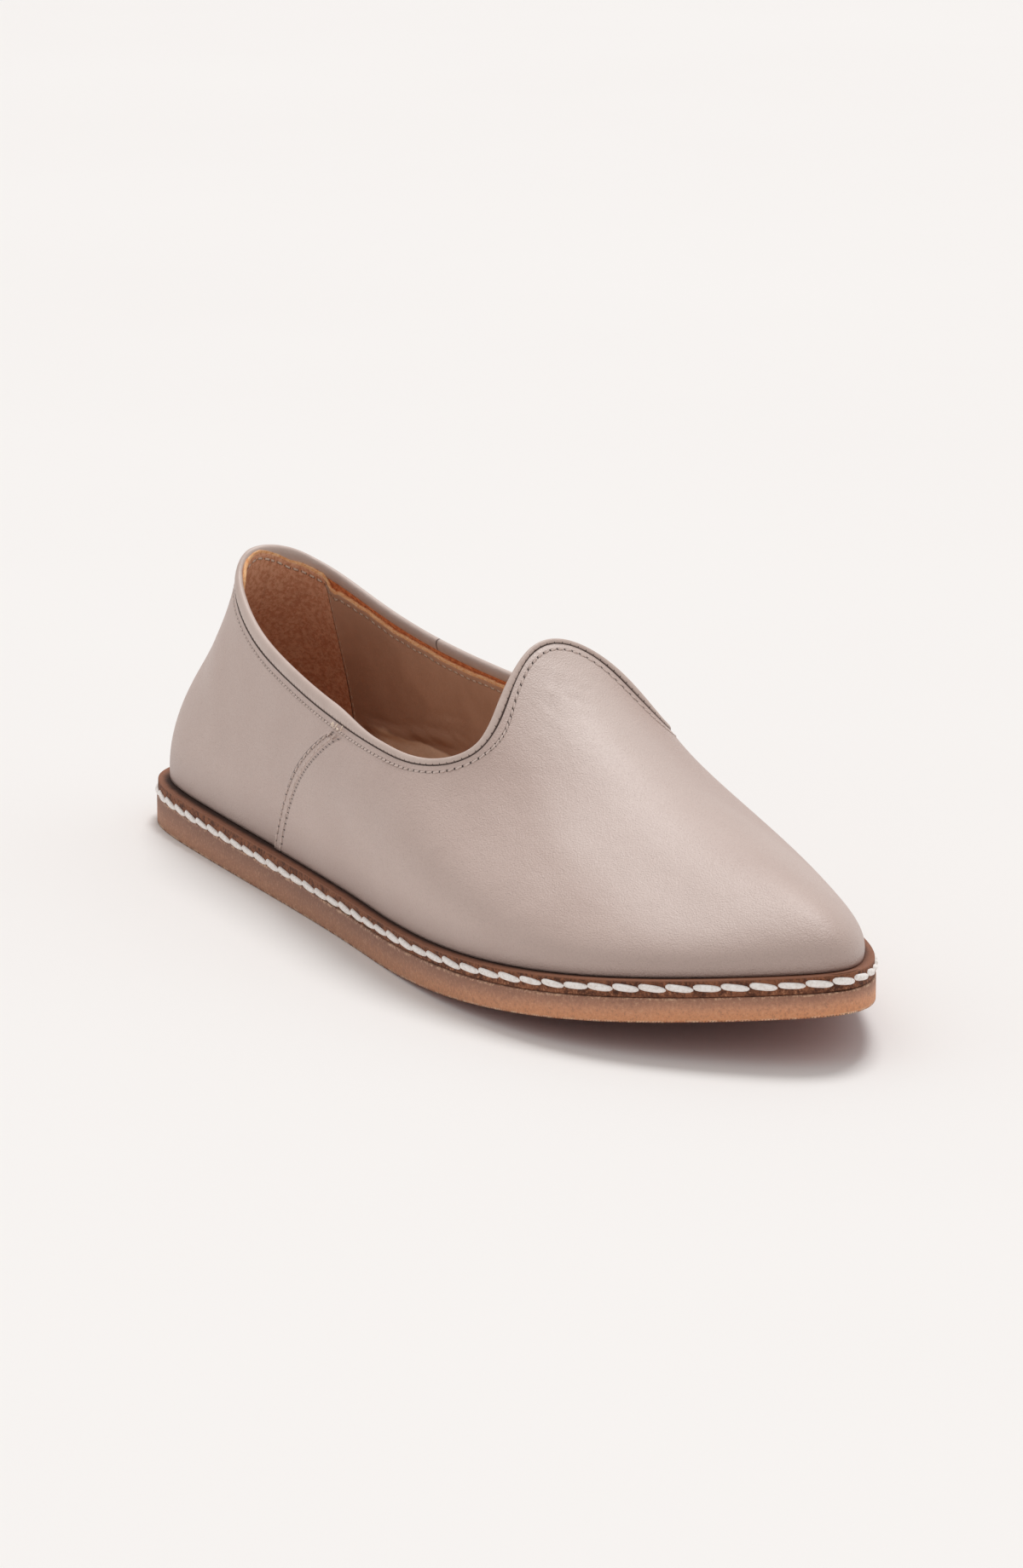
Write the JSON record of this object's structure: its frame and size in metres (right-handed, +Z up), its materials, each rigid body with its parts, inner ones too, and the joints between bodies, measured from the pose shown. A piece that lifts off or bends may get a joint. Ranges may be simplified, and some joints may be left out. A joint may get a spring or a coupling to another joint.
{
  "type": "slip-on shoe",
  "caption": "Flat leather slip-on shoe for the right foot, with a low collar, a tongue-shaped front edge and a gum sole with a turned-up toe.",
  "frame": {"origin": "on the floor, under the middle of the shoe's bounding box", "axes": "+X to the toe, +Z up, -Y to the outer side of the right foot"},
  "size_m": [0.265, 0.0858, 0.0665],
  "materials": {
    "outsole": "honey gum, satin",
    "midsole": "raw brown leather edge with white lockstitch",
    "insole": "smooth tan leather",
    "upper": "fine-grained taupe leather, soft gloss, brown lining",
    "topline_binding": "rolled taupe leather edge"
  },
  "bodies": {
    "root": {"outsole": "outsole", "midsole": "midsole", "insole": "insole", "upper": "upper", "topline_binding": "topline_binding"}
  },
  "joints": []
}
